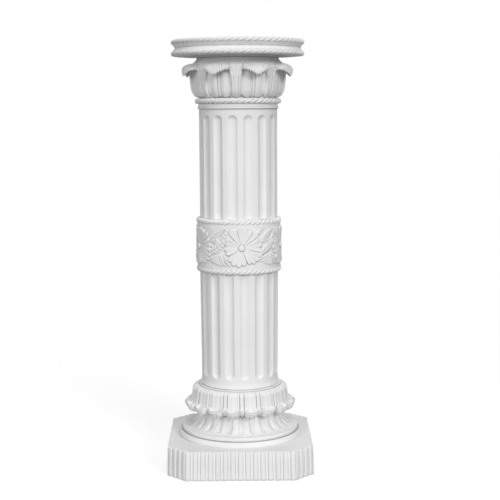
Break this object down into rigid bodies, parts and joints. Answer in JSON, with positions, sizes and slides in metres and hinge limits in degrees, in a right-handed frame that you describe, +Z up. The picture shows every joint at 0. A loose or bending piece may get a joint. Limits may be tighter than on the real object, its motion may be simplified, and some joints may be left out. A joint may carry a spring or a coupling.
{
  "type": "column pedestal",
  "caption": "Fluted column pedestal in white plaster with a ribbed plinth, leaf skirt, flower belt between ropes, leaf capital and a round flat top to stand something on.",
  "frame": {"origin": "middle of the underside of the plinth, on the floor", "axes": "+Z up along the column, -Y towards the front, +X to the right seen from the front"},
  "size_m": [0.3412, 0.3412, 1],
  "materials": {
    "plaster": "matte white cast plaster"
  },
  "bodies": {
    "root": {"base": "plaster", "lower_drum": "plaster", "belt": "plaster", "upper_drum": "plaster", "capital": "plaster", "top_slab": "plaster"}
  },
  "joints": []
}
